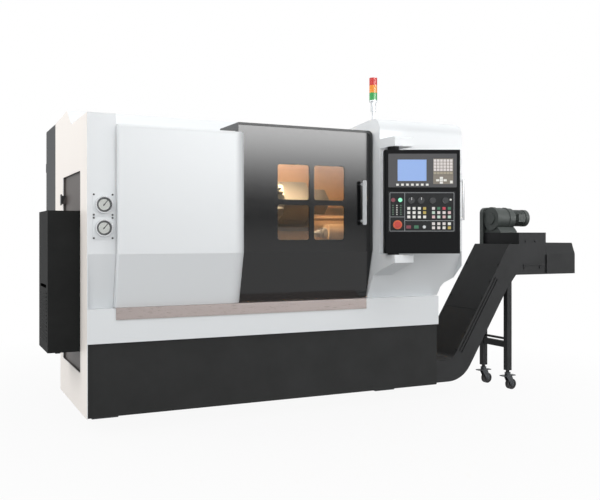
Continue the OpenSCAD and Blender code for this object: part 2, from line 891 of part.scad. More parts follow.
module display_unit() {
    f = -pendant_t / 2;
    color("#4A4A4C") place() on_pendant() {
        difference() {
            along_y(f - 5, f) round_rect(-34, 367, 1241, 1438, 4);
            box(20, 190, f - 6, f - 2, 1278, 1404);
            box(229, 347, f - 6, f - 3, 1260, 1410);
        }
        // soft keys
        for (i = [0:6]) box(12 + i * 29, 27 + i * 29, f - 7, f - 5, 1250, 1262);
        // alphanumeric keys, edit keys, cursor keys and the input key
        for (i = [0:5], j = [0:3]) box(232 + i * 19, 247 + i * 19, f - 6, f - 3, 1390 - j * 18, 1405 - j * 18);
        for (i = [0:5]) box(232 + i * 19, 247 + i * 19, f - 6, f - 3, 1318, 1330);
        for (i = [-1:1]) box(268 + i * 22, 286 + i * 22, f - 6, f - 3, 1276, 1288);
        for (dz = [-14, 14]) box(268, 286, f - 6, f - 3, 1276 + dz, 1288 + dz);
        box(328, 343, f - 6, f - 3, 1264, 1280);
    }
}

module display_screen() {
    f = -pendant_t / 2;
    color("#7E9AE0") place() on_pendant() box(20 + gap, 190 - gap, f - 4, f - 2, 1278 + gap, 1404 - gap);
}

module operator_panel() {
    f = -pendant_t / 2;
    color("#2B2D30") place() on_pendant() {
        difference() {
            along_y(f - 4, f) round_rect(-34, 360, 978, 1217, 4);
            // the fields are framed and parted by grooves
            along_y(f - 5, f - 3) difference() {
                round_rect(-26, 352, 983, 1210, 4);
                round_rect(-24, 350, 985, 1208, 3);
            }
            box(61, 63, f - 5, f - 3, 984, 1209);
            box(62, 351, f - 5, f - 3, 1044, 1046);
            box(-25, 62, f - 5, f - 3, 1066, 1068);
            rod_y(f - 5, f + 1, 18, stop_z, 12 + run);
            for (x = knob_x) rod_y(f - 5, f - 1, x, knob_z, 8 + run);
        }
        // two blocks of keys and the keys of the lower field
        for (x0 = [77, 222], i = [0:3], j = [0:2]) key(x0 + i * 31, 1117 - j * 25);
        for (i = [0:3], j = [0, 1]) key(222 + i * 31, 1027 - j * 24);
        // start and stop buttons, mode buttons, fixed selectors and lamps
        for (x = [-6, 35]) rod_y(f - 12, f - 4, x, 1166, 12);
        for (x = [85, 130]) box(x - 13, x + 13, f - 8, f - 4, 999, 1017);
        rod_y(f - 12, f - 4, 176, 1008, 9);
        for (x = [226, 301]) rod_y(f - 20, f - 4, x, knob_z, 17);
        rod_y(f - 8, f - 4, 331, 1168, 6);
        for (x = [-7, 16, 39], j = [0:4]) rod_y(f - 6, f - 4, x, 1134 - j * 13, 3.5);
    }
}

// square key on the operator panel, from its left edge and its middle height
module key(x, z) {
    f = -pendant_t / 2;
    box(x, x + 17, f - 7, f - 4, z - 8, z + 8);
}

module pendant_handle() {
    x = pendant_w - 55;
    color("#C4C8CB") place() on_pendant() {
        for (z = [1056, 1285]) rod_x(x, x + 26, 0, z, 7);
        rod_z(1049, 1292, x + 26, 0, 7);
    }
}

module emergency_stop() {
    f = -pendant_t / 2;
    color("#E2512C") place() on_pendant() {
        rod_y(f - 16, f - 1 - gap, 18, stop_z, 12);
        rod_y(f - 24, f - 16, 18, stop_z, 26);
        rod_y(f - 30, f - 24, 18, stop_z, 19);
    }
}

module knob(x) {
    f = -pendant_t / 2;
    place() on_pendant() {
        rod_y(f - 5, f - 1 - gap, x, knob_z, 8);
        difference() {
            rod_y(f - 24, f - 5, x, knob_z, 18);
            box(x - 1.5, x + 1.5, f - 25, f - 22, knob_z + 2, knob_z + 22);
        }
    }
}

module feed_knob() {
    color("#C9CCCE") knob(knob_x[0]);
}

module spindle_knob() {
    color("#C9CCCE") knob(knob_x[1]);
}

// Chip conveyor

module rise_frame() {
    translate([conv_bend_x, bend_z]) rotate(conv_rise - 90) children();
}

// side outline, inset from the outer skin; the top stays open when inset
module conv_side(inset, over) {
    t = conv_t - 2 * inset + over;
    translate([460 + inset, 8 + inset]) square([conv_bend_x - 460 - inset, t]);
    difference() {
        translate([conv_bend_x, bend_z]) circle(bend_r - inset);
        translate([conv_bend_x, bend_z]) circle(bend_r - inset - t);
        translate([conv_bend_x - 400, -400]) square([400, 1200]);
        rise_frame() translate([-300, 0]) square([600, 600]);
    }
    rise_frame() translate([bend_r - inset - t - lap, -2]) square([t + 2 * lap, 848]);
    polygon([
        [head_x0 - 95 + inset, 606 + inset], [head_x0 - 25, head_z0 + inset],
        [head_x1 - inset, head_z0 + inset],
        [head_x1 - inset, head_z1 + over - inset], [head_x0 + inset, head_z1 + over - inset],
        [head_x0 + inset, 896 + over - inset], [conv_bend_x + 500, 896 + over - inset],
        [conv_bend_x + 378, 690]
    ]);
}

module conveyor_trough() {
    y1 = conv_y0 + conv_w;
    color("#3C3E40") place() {
        difference() {
            along_y(conv_y0, y1) conv_side(0, 0);
            along_y(conv_y0 + sheet, y1 - sheet) conv_side(sheet, 8);
            rod_y(conv_y0 + sheet, 600, shaft_x, shaft_z, 20 + run);
            // discharge mouth
            box(head_x1 - 10, head_x1 + 10, conv_y0 + 20, y1 - 20, head_z0 + 10, 890);
        }
        // double rib on the front plate beside the upper edge
        along_y(conv_y0 - 6, conv_y0) {
            rise_frame() for (u = [-14, -34]) translate([bend_r - conv_t - u, 40]) square([8, 560]);
        }
        // blind bearing of the drive shaft behind the front plate
        difference() {
            rod_y(conv_y0 + sheet - 1, conv_y0 + 18, shaft_x, shaft_z, 34);
            rod_y(conv_y0 + sheet, conv_y0 + 19, shaft_x, shaft_z, 20 + run);
        }
        // flange ledge of the head, with bolts
        box(head_x0 + 36, head_x0 + 224, conv_y0 - 8, conv_y0, 752, 760);
        for (x = [48, 188]) rod_y(conv_y0 - 7, conv_y0, head_x0 + x, 738, 8);
        for (x = [61, 145]) rod_y(conv_y0 - 5, conv_y0, head_x0 + x, 918, 7);
    }
}

module conveyor_covers() {
    y1 = conv_y0 + conv_w;
    cover_r = bend_r - conv_t - 2 * lap;
    color("#46484A") place() {
        // two plates over the rise, the lower one bent on over the flat run
        along_y(conv_y0, y1) {
            rise_frame() {
                translate([bend_r - conv_t - lap - sheet, -2]) square([sheet, 342]);
                translate([bend_r - conv_t - lap - sheet, 342]) square([sheet, 508]);
            }
            difference() {
                translate([conv_bend_x, bend_z]) circle(cover_r);
                translate([conv_bend_x, bend_z]) circle(cover_r - sheet);
                translate([conv_bend_x - 400, -400]) square([400, 1200]);
                rise_frame() translate([-300, 0]) square([600, 600]);
            }
            translate([base_len + 2, bend_z - cover_r]) square([bend_out - 2, sheet]);
            // lid between the rise and the head
            translate([conv_bend_x + 500, 896]) square([83, sheet]);
        }
        for (i = [0:5], y = [conv_y0 + 14, y1 - 14]) translate([conv_bend_x, y, bend_z])
            rotate([0, 90 - conv_rise, 0]) translate([bend_r - conv_t - lap - sheet - 5, 0, 40 + i * 130])
            rotate([0, 90, 0]) cylinder(h = 5, r = 7);
        // head lid
        box(head_x0, head_x1, conv_y0, y1, head_z1, head_z1 + sheet);
        // discharge chute: closed hood, open below and to the head
        difference() {
            along_x(head_x1, chute_x1) polygon([
                [conv_y0, head_z0], [conv_y0, 830], [conv_y0 + 30, 907], [y1, 907], [y1, head_z0]
            ]);
            along_x(head_x1 - 1, chute_x1 - sheet) polygon([
                [conv_y0 + sheet, head_z0 - 1], [conv_y0 + sheet, 829], [conv_y0 + 33, 903],
                [y1 - sheet, 903], [y1 - sheet, head_z0 - 1]
            ]);
        }
        // bolted flange at the chute
        box(head_x1, head_x1 + 6, conv_y0 - 10, conv_y0, head_z0 + 6, 826);
        for (z = [712, 756, 800]) rod_x(head_x1 + 6, head_x1 + 11, conv_y0 - 5, z, 4);
    }
}

module belt_loop(grow) {
    z0 = 34 - grow;
    z1 = 112 + grow;
    translate([490 - grow, z0]) square([conv_bend_x - 490 + grow, z1 - z0]);
    difference() {
        translate([conv_bend_x, bend_z]) circle(bend_z - z0);
        translate([conv_bend_x, bend_z]) circle(bend_z - z1);
        translate([conv_bend_x - 400, -400]) square([400, 1200]);
        rise_frame() translate([-300, 0]) square([600, 600]);
    }
    rise_frame() translate([bend_z - z1 - lap, -2]) square([z1 - z0 + 2 * lap, 692]);
    translate([shaft_x, shaft_z]) circle(70 + grow);
    polygon([
        [conv_bend_x + 378, 700 - grow], [conv_bend_x + 448, 660 - grow],
        [shaft_x, shaft_z - 70 - grow], [shaft_x, shaft_z + 70 + grow],
        [conv_bend_x + 528, 866 + grow], [conv_bend_x + 448, 770 + grow]
    ]);
}

module conveyor_belt() {
    color("#6B6E70") place() difference() {
        along_y(conv_y0 + 26, conv_y0 + conv_w - 26) belt_loop(6);
        along_y(conv_y0 + 20, conv_y0 + conv_w - 20) belt_loop(0);
        for (x = [510:40:conv_bend_x - 42]) box(x, x + 4, conv_y0 + 30, conv_y0 + conv_w - 30, 116, 130);
    }
}

module conveyor_shaft() {
    color("#8F9497") place() {
        rod_y(conv_y0 + sheet + gap, conv_y0 + conv_w + 30, shaft_x, shaft_z, 20);
        for (y = [conv_y0 + 60, conv_y0 + conv_w - 76]) rod_y(y, y + 16, shaft_x, shaft_z, 70 - gap);
        rod_y(conv_y0 + conv_w + 10, conv_y0 + conv_w + 20, shaft_x, shaft_z, 48);
    }
}

module gearmotor() {
    y1 = conv_y0 + conv_w;
    ym = y1 - 72;
    z = head_z1 + sheet;
    zc = z + 100;
    zm = z + 106;
    x = head_x0;
    color("#5A6063") place() {
        // foot and gear drum with its flange ring
        along_x(x + 10, x + 160) polygon([
            [ym - 90, z], [ym - 90, z + 10], [ym - 60, z + 40], [ym + 60, z + 40], [y1, z + 10], [y1, z]
        ]);
        rod_x(x, x + 165, ym, zc, 76);
        rod_x(x, x + 26, ym, zc, 83);
        rod_x(x + 112, x + 124, ym, zc, 81);
        rod_x(x - 8, x, ym, zc, 40);
        // finned motor with its fan cover and shaft end
        rod_x(x + 165, x + 290, ym, zm, 54);
        for (i = [0:6]) rod_x(x + 172 + i * 14, x + 179 + i * 14, ym, zm, 60);
        rod_x(x + 276, x + 306, ym, zm, 61);
        rod_x(x + 306, x + 312, ym, zm, 50);
        // terminal box
        box(x + 190, x + 250, ym - 78, ym - 40, zm - 28, zm + 28);
        // chain guard down to the drive shaft
        difference() {
            along_y(y1, y1 + 34) round_rect(x - 15, x + 185, 770, z + 182, 40);
            along_y(y1 - 1, y1 + 30) round_rect(x - 11, x + 181, 774, z + 178, 36);
        }
    }
}

module conveyor_stand() {
    x0 = leg_x - leg_w / 2;
    color("#46494B") place() {
        // legs, cut to the underside of the trough
        for (y = leg_y) along_y(y, y + leg_w) difference() {
            translate([x0, caster_z]) square([leg_w, 700 - caster_z]);
            conv_side(0, 0);
        }
        box(x0 + 3, x0 + leg_w - 3, leg_y[0] + leg_w, leg_y[1], 196, 236);
        box(x0 + 12, x0 + leg_w - 12, leg_y[0] + leg_w, leg_y[1], 248, 262);
        // stems that the casters turn under
        for (y = leg_y) rod_z(stem_z, caster_z, leg_x, y + leg_w / 2, 12);
    }
}

module caster_fork(y) {
    cy = y + leg_w / 2;
    axle_z = wheel_r - foot_h;
    color("#9BA0A3") place() {
        rod_z(8, stem_z - gap, leg_x, cy, 20);
        for (s = [-1, 1]) along_y(cy + s * 17 - 2, cy + s * 17 + 2) polygon([
            [leg_x - 22, 8], [leg_x + 22, 8], [leg_x + 42, axle_z + 9],
            [leg_x + 36, axle_z - 13], [leg_x + 14, axle_z - 9]
        ]);
        // brake bar across the fork
        box(leg_x - 54, leg_x + 54, cy - 19, cy + 19, 4, 10);
        rod_y(cy - 22, cy + 22, leg_x + 26, axle_z, 6);
    }
}

module caster_wheel(y) {
    cy = y + leg_w / 2;
    color("#3B3D3E") place() translate([leg_x + 26, cy, wheel_r - foot_h]) difference() {
        rotate([90, 0, 0]) cylinder(h = 26, r = wheel_r, center = true);
        rotate([90, 0, 0]) cylinder(h = 40, r = 6 + run, center = true);
        for (s = [-1, 1]) translate([0, s * 13, 0]) rotate([90, 0, 0]) difference() {
            cylinder(h = 6, r = 26, center = true);
            cylinder(h = 8, r = 12, center = true);
        }
    }
}

module front_caster_fork() {
    caster_fork(leg_y[0]);
}

module front_caster_wheel() {
    caster_wheel(leg_y[0]);
}

module rear_caster_fork() {
    caster_fork(leg_y[1]);
}

module rear_caster_wheel() {
    caster_wheel(leg_y[1]);
}

base_frame();
levelling_feet();
front_apron();
front_band();
door_sill();
left_end_cover();
side_access_panel();
belt_guard();
gauge_panel();
left_front_cover();
right_front_hood();
roof_cover();
rear_cover();
inner_guards();
work_lamp();
electrical_cabinet();
cabinet_door();
pendant_brackets();
signal_mast();
lamp_green();
lamp_amber();
lamp_red();
slant_bed();
headstock();
spindle_motor();
drive_belt();
z_servo();
z_screw();
conveyor_trough();
conveyor_covers();
conveyor_belt();
conveyor_shaft();
gearmotor();
conveyor_stand();
door_panel();
door_glass();
door_handle();
pendant_case();
display_unit();
display_screen();
operator_panel();
pendant_handle();
emergency_stop();
feed_knob();
spindle_knob();
spindle();
chuck_body();
jaw_1();
jaw_2();
jaw_3();
motor_pulley();
saddle();
turret_slide();
turret_disc();
tailstock();
quill();
front_caster_fork();
front_caster_wheel();
rear_caster_fork();
rear_caster_wheel();
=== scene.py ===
"""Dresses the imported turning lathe: finishes, pendant print, studio and camera."""

import logging
import math
from dataclasses import dataclass
from enum import Enum
from typing import Any, Callable, Optional

import bpy
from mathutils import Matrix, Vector

LOG = logging.getLogger("lathe")
MM = 0.001

# the machine's own zero, the lower left front corner of the base, in the frame (mm)
MACHINE_ZERO_MM = Vector((-1105.0, -620.0, 88.0))

# a brush mark's width as a share of its length
BRUSH_SHARE = 0.03
# octaves of the noise of a sprayed coat, of a sand cast skin and of dust
COAT_DETAIL = 2.0
CAST_DETAIL = 4.0
DUST_DETAIL = 5.0
# how much each finer octave of the dust keeps of the last
DUST_KEEP = 0.6
# size of the patches that dust and wiping leave on dark coats
DUST_MM = 220.0
# values of a noise that count as its least and greatest, for roughness, shade and dust
ROUGH_RANGE = (0.2, 0.8)
SHADE_RANGE = (0.25, 0.75)
DUST_RANGE = (0.3, 0.7)
# no surface is smoother than this
LEAST_ROUGH = 0.02

Pair = tuple[float, float]
Place = tuple[float, float, float]
# says by a face's centre (machine mm) and normal whether it is meant
FaceTest = Callable[[Vector, Vector], bool]


def linear(hex_colour: str, alpha: float = 1.0) -> tuple[float, float, float, float]:
    """Turns an sRGB hex colour to linear light.

    Args:
        hex_colour: Colour such as "#E3E6E8".
        alpha: Fourth value of the result.

    Returns:
        Red, green, blue and alpha.
    """
    parts = [int(hex_colour[i:i + 2], 16) / 255.0 for i in (1, 3, 5)]
    light = [c / 12.92 if c <= 0.04045 else ((c + 0.055) / 1.055) ** 2.4 for c in parts]
    return (light[0], light[1], light[2], alpha)


def add_node(
    tree: bpy.types.NodeTree,
    kind: str,
    settings: Optional[dict[Any, Any]] = None,
    links: Optional[dict[Any, bpy.types.NodeSocket]] = None,
) -> bpy.types.Node:
    """Adds one shader node.

    Args:
        tree: Node tree that gets the node.
        kind: Blender's type name of the node.
        settings: Values by input name or number or, where no input has it, by attribute name.
        links: Output sockets by the name or number of the input they feed.

    Returns:
        The new node.
    """
    node = tree.nodes.new(kind)
    for name, value in (settings or {}).items():
        if isinstance(name, int) or name in node.inputs:
            node.inputs[name].default_value = value
        else:
            setattr(node, name, value)
    for name, socket in (links or {}).items():
        tree.links.new(socket, node.inputs[name])
    return node


class Grain(Enum):
    """How a surface was made, as far as the eye sees it."""

    PLAIN = "moulded or polished, no pattern"
    PEEL = "sprayed coat or moulded skin with a fine orange peel"
    BRUSHED = "brushed along the X axis"
    CAST = "sand cast skin under paint"
    SPANGLE = "hot dip zinc flowers"


@dataclass(frozen=True)
class Finish:
    """One finish: a material and how its surface was made.

    A real peel or brush mark is a few tenths of a millimetre wide, too fine to show in the render,
    so grain_mm is drawn several times coarser.

    Attributes:
        name: What the material is and how it was made.
        colour: Its sRGB colour.
        rough: Its mean roughness.
        metallic: 1 for bare metal.
        ior: Its index of refraction, low for dusty dark coats, which mirror little.
        grain: Kind of its pattern.
        grain_mm: Width of one grain.
        depth: Height of the grain in mm.
        spread: How far the roughness strays from its mean.
        shade: Share by which the dark grains are darker.
        bloom: Share by which dusty patches are lighter and wiped ones darker.
        glow: Strength of its own light.
        clear: 1 for what is seen through.
    """

    name: str
    colour: str
    rough: float
    metallic: float = 0.0
    ior: float = 1.5
    grain: Grain = Grain.PEEL
    grain_mm: float = 1.5
    depth: float = 0.03
    spread: float = 0.05
    shade: float = 0.0
    bloom: float = 0.0
    glow: float = 0.0
    clear: float = 0.0

    def material(self) -> bpy.types.Material:
        """Gives the finish's material, made on first use."""
        found = bpy.data.materials.get(self.name)
        return found if found else self.make()

    def make(self) -> bpy.types.Material:
        """Builds the node tree of the finish.

        Returns:
            The new material.
        """
        material = bpy.data.materials.new(self.name)
        material.use_nodes = True
        tree = material.node_tree
        shader = tree.nodes["Principled BSDF"]
        shader.inputs["Base Color"].default_value = linear(self.colour)
        shader.inputs["Roughness"].default_value = self.rough
        shader.inputs["Metallic"].default_value = self.metallic
        shader.inputs["IOR"].default_value = self.ior
        shader.inputs["Transmission Weight"].default_value = self.clear
        if self.glow > 0.0:
            shader.inputs["Emission Color"].default_value = linear(self.colour)
            shader.inputs["Emission Strength"].default_value = self.glow
        if self.grain is not Grain.PLAIN:
            self.roughen(tree, shader)
        material.diffuse_color = linear(self.colour)
        return material

    def pattern(
        self, tree: bpy.types.NodeTree, place: bpy.types.NodeSocket
    ) -> bpy.types.NodeSocket:
        """Draws the grain over the object.

        Args:
            tree: The material's node tree.
            place: Socket with the place on the object.

        Returns:
            A socket that runs from 0 to 1 over the grain.
        """
        across = 1.0 / (self.grain_mm * MM)
        along = across * BRUSH_SHARE if self.grain is Grain.BRUSHED else across
        scaled = add_node(
            tree, "ShaderNodeMapping", {"Scale": (along, across, across)}, {"Vector": place}
        )
        spot = {"Vector": scaled.outputs["Vector"]}
        if self.grain is Grain.SPANGLE:
            flowers = add_node(tree, "ShaderNodeTexVoronoi", {"Scale": 1.0}, spot)
            parts = add_node(
                tree, "ShaderNodeSeparateColor", links={"Color": flowers.outputs["Color"]}
            )
            return parts.outputs["Red"]
        detail = CAST_DETAIL if self.grain is Grain.CAST else COAT_DETAIL
        noise = add_node(tree, "ShaderNodeTexNoise", {"Scale": 1.0, "Detail": detail}, spot)
        return noise.outputs["Fac"]

    def roughen(self, tree: bpy.types.NodeTree, shader: bpy.types.Node) -> None:
        """Adds the grain: a bump, a spread of roughness and a spread of shade.

        Args:
            tree: The material's node tree.
            shader: Its principled shader.
        """
        place = add_node(tree, "ShaderNodeTexCoord").outputs["Object"]
        value = self.pattern(tree, place)
        if self.depth > 0.0:
            bump = add_node(
                tree,
                "ShaderNodeBump",
                {"Distance": self.depth * MM, "Strength": 1.0},
                {"Height": value},
            )
            tree.links.new(bump.outputs["Normal"], shader.inputs["Normal"])
        if self.spread > 0.0:
            rough = add_node(
                tree,
                "ShaderNodeMapRange",
                {
                    "From Min": ROUGH_RANGE[0],
                    "From Max": ROUGH_RANGE[1],
                    "To Min": max(LEAST_ROUGH, self.rough - self.spread),
                    "To Max": self.rough + self.spread,
                },
                {"Value": value},
            )
            tree.links.new(rough.outputs["Result"], shader.inputs["Roughness"])
        if self.shade > 0.0:
            light = linear(self.colour)
            dark = tuple(c * (1.0 - self.shade) for c in light[:3]) + (1.0,)
            ramp = add_node(tree, "ShaderNodeValToRGB", links={"Fac": value})
            for stop, position, colour in zip(
                ramp.color_ramp.elements, SHADE_RANGE, (dark, light)
            ):
                stop.position = position
                stop.color = colour
            tree.links.new(ramp.outputs["Color"], shader.inputs["Base Color"])
        if self.bloom > 0.0:
            self.dust(tree, shader, place)

    def dust(
        self, tree: bpy.types.NodeTree, shader: bpy.types.Node, place: bpy.types.NodeSocket
    ) -> None:
        """Lightens and darkens the colour in broad soft patches, as dust and wiping leave it.

        Args:
            tree: The material's node tree.
            shader: Its principled shader.
            place: Socket with the place on the object.
        """
        patches = add_node(
            tree,
            "ShaderNodeTexNoise",
            {"Scale": 1.0 / (DUST_MM * MM), "Detail": DUST_DETAIL, "Roughness": DUST_KEEP},
            {"Vector": place},
        )
        level = add_node(
            tree,
            "ShaderNodeMapRange",
            {
                "From Min": DUST_RANGE[0],
                "From Max": DUST_RANGE[1],
                "To Min": 1.0 - self.bloom,
                "To Max": 1.0 + self.bloom,
            },
            {"Value": patches.outputs["Fac"]},
        )
        tint = add_node(
            tree,
            "ShaderNodeVectorMath",
            {"operation": "SCALE", 0: linear(self.colour)[:3]},
            {"Scale": level.outputs["Result"]},
        )
        colour = shader.inputs["Base Color"]
        if colour.is_linked:
            tree.links.new(colour.links[0].from_socket, tint.inputs[0])
        tree.links.new(tint.outputs["Vector"], colour)


# Powder coated sheet steel: an even satin sheen with a faint orange peel
WHITE = Finish("powder coated sheet, white", "#DEE1E3", 0.34, grain_mm=2.2, depth=0.05)
# The same coat, drawn a soft warm cream and lighter than WHITE on the left end's left-facing faces,
# the base and the rear cover: painted light from the bright left side
CREAM_PAINTED_LIGHT = Finish("powder coated sheet, cream", "#EBE5DF", 0.45, grain_mm=2.2, depth=0.05)
# Two-pack enamel, sprayed and glossy: near black with clear soft reflections
DOOR_ENAMEL = Finish("gloss enamel, charcoal", "#0D0E0F", 0.14, grain_mm=6.0, depth=0.01)
# Powder coat on the access panel: brown grey, dry and dull
ACCESS_BROWN = Finish("powder coated sheet, grey brown", "#494340", 0.5, ior=1.4,
                      grain_mm=2.5, depth=0.08, spread=0.06)
# Satin paint on edge trim and latch: dull next to the door
TRIM_BLACK = Finish("satin paint, black", "#1A1B1C", 0.4)
# Textured powder coat: swallows light, shows dust as a grey bloom
APRON_BLACK = Finish("textured powder coat, black", "#1A1B1B", 0.65, ior=1.33,
                     grain_mm=3.0, depth=0.15, spread=0.1, shade=0.15, bloom=0.3)
# The same coat on the belt guard, never wiped: duller still, with fewer patches
GUARD_BLACK = Finish("textured powder coat, jet", "#1D1E1E", 0.75, ior=1.22,
                     grain_mm=3.0, depth=0.12, spread=0.1, bloom=0.2)
# Powder coat on the conveyor's folded sheet: dark satin with dusty patches
CONVEYOR_GREY = Finish("powder coated sheet, iron grey", "#1B1C1D", 0.55, ior=1.33,
                       grain_mm=2.5, depth=0.08, spread=0.08, bloom=0.3)
# Powder coat on the cabinet: a plain bluish slate
CABINET_GREY = Finish("powder coated sheet, slate", "#2B2E31", 0.55, ior=1.33,
                      grain_mm=2.5, depth=0.1)
# Painted motor castings: a pebbled skin that breaks up the sheen
MOTOR_GREY = Finish("cast housing, slate paint", "#3A4045", 0.5, grain=Grain.CAST,
                    grain_mm=8.0, depth=0.2, spread=0.08)
# The conveyor's gearmotor, painted over the casting: greener and a little paler
GEAR_GREY = Finish("cast housing, grey green paint", "#484D4B", 0.5, ior=1.4, grain=Grain.CAST,
                   grain_mm=8.0, depth=0.15, spread=0.08)
# Stainless sheet, brushed along the sill: long soft streaks
STAINLESS = Finish("brushed stainless steel", "#968D8A", 0.32, metallic=1.0, grain=Grain.BRUSHED,
                   grain_mm=1.6, depth=0.02, spread=0.08)
# Tool steel, ground: bright and even
GROUND_STEEL = Finish("ground steel", "#A6A8AA", 0.4, metallic=1.0, grain=Grain.BRUSHED,
                      grain_mm=1.2, depth=0.01, spread=0.06)
# Steel, chemically blacked: dark with a cloudy metal sheen
DARK_STEEL = Finish("blacked steel", "#4A4C4E", 0.42, metallic=1.0, grain=Grain.CAST,
                    grain_mm=3.0, spread=0.1, shade=0.2)
# Powder coated bar of the door's handle: pale, with a soft highlight along it
HANDLE_GREY = Finish("powder coated bar, pale grey", "#C9CCCE", 0.35)
# Steel, polished and chromed: a mirror with a trace of wiping
CHROME = Finish("chromed steel", "#D2D4D6", 0.1, metallic=1.0, grain_mm=12.0, depth=0.0, spread=0.04)
# Aluminium tube, etched and anodised: silky and pale
ANODISED = Finish("anodised aluminium", "#C2C5C8", 0.32, metallic=1.0, depth=0.01)
# Zinc coated guards of the chamber, with broad dull flowers; their warm tan colour is painted warm
# lamp light over the grey zinc
ZINC_PAINTED_WARM_LIGHT = Finish("galvanised sheet, painted warm light", "#A78B70", 0.5, metallic=0.3, grain=Grain.SPANGLE,
              grain_mm=25.0, spread=0.1, shade=0.12)
# Headstock casting under machine paint: grey and pebbled
CAST_GREY = Finish("cast iron, grey paint", "#7F8488", 0.5, grain=Grain.CAST,
                   grain_mm=9.0, depth=0.25, spread=0.08)
# Cast iron, machined and left bare: dull grey metal
CAST_IRON = Finish("machined cast iron", "#6E7072", 0.45, metallic=0.9, grain=Grain.CAST,
                   grain_mm=5.0, depth=0.05, spread=0.1)
# Castings in the chamber: the grey machine paint over a sand cast skin, drawn beige and lighter as
# painted warm lamp light
CAST_PAINTED_WARM_LIGHT = Finish("cast iron, grey paint, painted warm light", "#BFA68C", 0.5, grain=Grain.CAST,
                    grain_mm=9.0, depth=0.25, spread=0.08, shade=0.12)
# Rubber of the wheels and the belt, moulded: matt, scuffed to grey in places
RUBBER = Finish("moulded rubber, black", "#1B1B1C", 0.75, depth=0.05, spread=0.1, shade=0.2)
# Polycarbonate panes with a bronze tint: clear, a little warm
PANE = Finish("polycarbonate, bronze tint", "#F2E6D2", 0.03, grain=Grain.PLAIN, clear=1.0)
# Pressed glass over the gauges: clear, with a sharp glint
LENS = Finish("glass, clear", "#F4F6F6", 0.02, grain=Grain.PLAIN, clear=1.0)
# Acrylic domes of the tower, moulded: deep red, amber and green that seem faintly lit
LAMP_RED = Finish("acrylic dome, red", "#C3261F", 0.18, ior=1.49, glow=0.12)
LAMP_AMBER = Finish("acrylic dome, amber", "#E08A1E", 0.18, ior=1.49, glow=0.12)
LAMP_GREEN = Finish("acrylic dome, green", "#2E9A4A", 0.18, ior=1.49, glow=0.12)
# Frosted acrylic cover of the work lamp, lit: the warm light of the chamber
TUBE = Finish("frosted acrylic lamp cover, lit", "#FFE2BE", 0.4, glow=128.0)
# ABS case of the control, moulded: fine, dry satin
CASE_BLACK = Finish("moulded ABS case, black", "#0B0C0E", 0.5, ior=1.2, depth=0.05)
# ABS bezel of the display, moulded: mid grey, dull
BEZEL = Finish("moulded ABS bezel, grey", "#464648", 0.5, ior=1.4)
# Polyester film on the operator panel, printed from behind: flat black
PANEL_BLACK = Finish("polyester film, black", "#131517", 0.5, ior=1.33)
# Ink of the frames between its fields: thin pale lines
LINE_GREY = Finish("printed ink line, pale grey", "#B9BCBE", 0.5)
# Display glass, lit from behind: an even light blue
SCREEN = Finish("lit display glass, blue", "#7E9ACB", 0.3, glow=0.3)
# Polyester film under the keypad: warm grey
KEYPAD = Finish("polyester film, brown grey", "#7C7468", 0.5)
# ABS key caps, moulded in their colours: small, soft and slightly shiny
KEY_BEIGE = Finish("moulded ABS key cap, beige", "#A39A86", 0.45)
KEY_WHITE = Finish("moulded ABS key cap, white", "#E2E1DC", 0.4)
KEY_PALE = Finish("moulded ABS key cap, pale rose grey", "#D8D1CF", 0.45)
KEY_MINT = Finish("moulded ABS key cap, pale green", "#B9CFC0", 0.4)
KEY_GREEN = Finish("moulded ABS key cap, green", "#2F6B4C", 0.4)
KEY_RED = Finish("moulded ABS key cap, red", "#C23A4C", 0.4)
KEY_DARK_RED = Finish("moulded ABS key cap, dark red", "#7A3340", 0.4)
KEY_PINK = Finish("moulded ABS key cap, pink", "#D5B3B4", 0.4)
KEY_AMBER = Finish("moulded ABS key cap, amber", "#B8A24E", 0.4)
# Acrylic cap of the start button, lit: a mint green that glows
BUTTON_LIT = Finish("acrylic button cap, lit green", "#7FD8B0", 0.3, glow=0.5)
# Acrylic lenses of signal lamps that are off: a dull grey green
LED_GREEN = Finish("acrylic lamp lens, green", "#5E7F68", 0.3)
# Nylon collar of the emergency stop, moulded: orange
STOP_ORANGE = Finish("moulded nylon collar, signal orange", "#C85A2C", 0.4)
# Nylon mushroom cap, moulded: red, with a soft highlight
STOP_RED = Finish("moulded nylon cap, signal red", "#B83428", 0.35)
# Phenolic knobs, moulded: black, with a low shine
KNOB_BLACK = Finish("moulded phenolic knob, black", "#1F2123", 0.4)
# Ink in the knobs' slots: a crisp white mark
POINTER = Finish("printed ink pointer, white", "#E8E9E9", 0.45)
# Aluminium dial, painted: flat white
DIAL_WHITE = Finish("painted dial, white", "#F0EFEA", 0.5)
# Its printed scale, too fine to read: a dark grey ring
DIAL_RING = Finish("printed ink ring, dark grey", "#3A3C3E", 0.5)
# Brass needle, painted: a thin black line
NEEDLE = Finish("painted needle, black", "#202020", 0.5)


def wear(node: str, finish: Finish) -> None:
    """Gives a whole CAD node one finish.

    Args:
        node: Name of the node.
        finish: Finish that it gets.
    """
    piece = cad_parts[node]
    piece.data.materials.clear()
    piece.data.materials.append(finish.material())
    LOG.info("%s: %s", node, finish.name)


def paint(node: str, finish: Finish, test: FaceTest) -> None:
    """Gives some faces of a CAD node another finish.

    Args:
        node: Name of the node.
        finish: Finish of those faces.
        test: Says by a face's centre (machine mm) and normal whether it is one.
    """
    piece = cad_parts[node]
    piece.data.materials.append(finish.material())
    slot = len(piece.data.materials) - 1
    for face in piece.data.polygons:
        centre = face.center / MM - MACHINE_ZERO_MM
        if test(centre, face.normal):
            face.material_index = slot


@dataclass(frozen=True)
class GaugeZone:
    """Part of a gauge plate, in mm.

    Attributes:
        finish: Finish of its faces.
        radii: Distances from the gauge's axis between which it lies.
        fronts: Places along Y between which it lies.
    """

    finish: Finish
    radii: Pair
    fronts: Pair


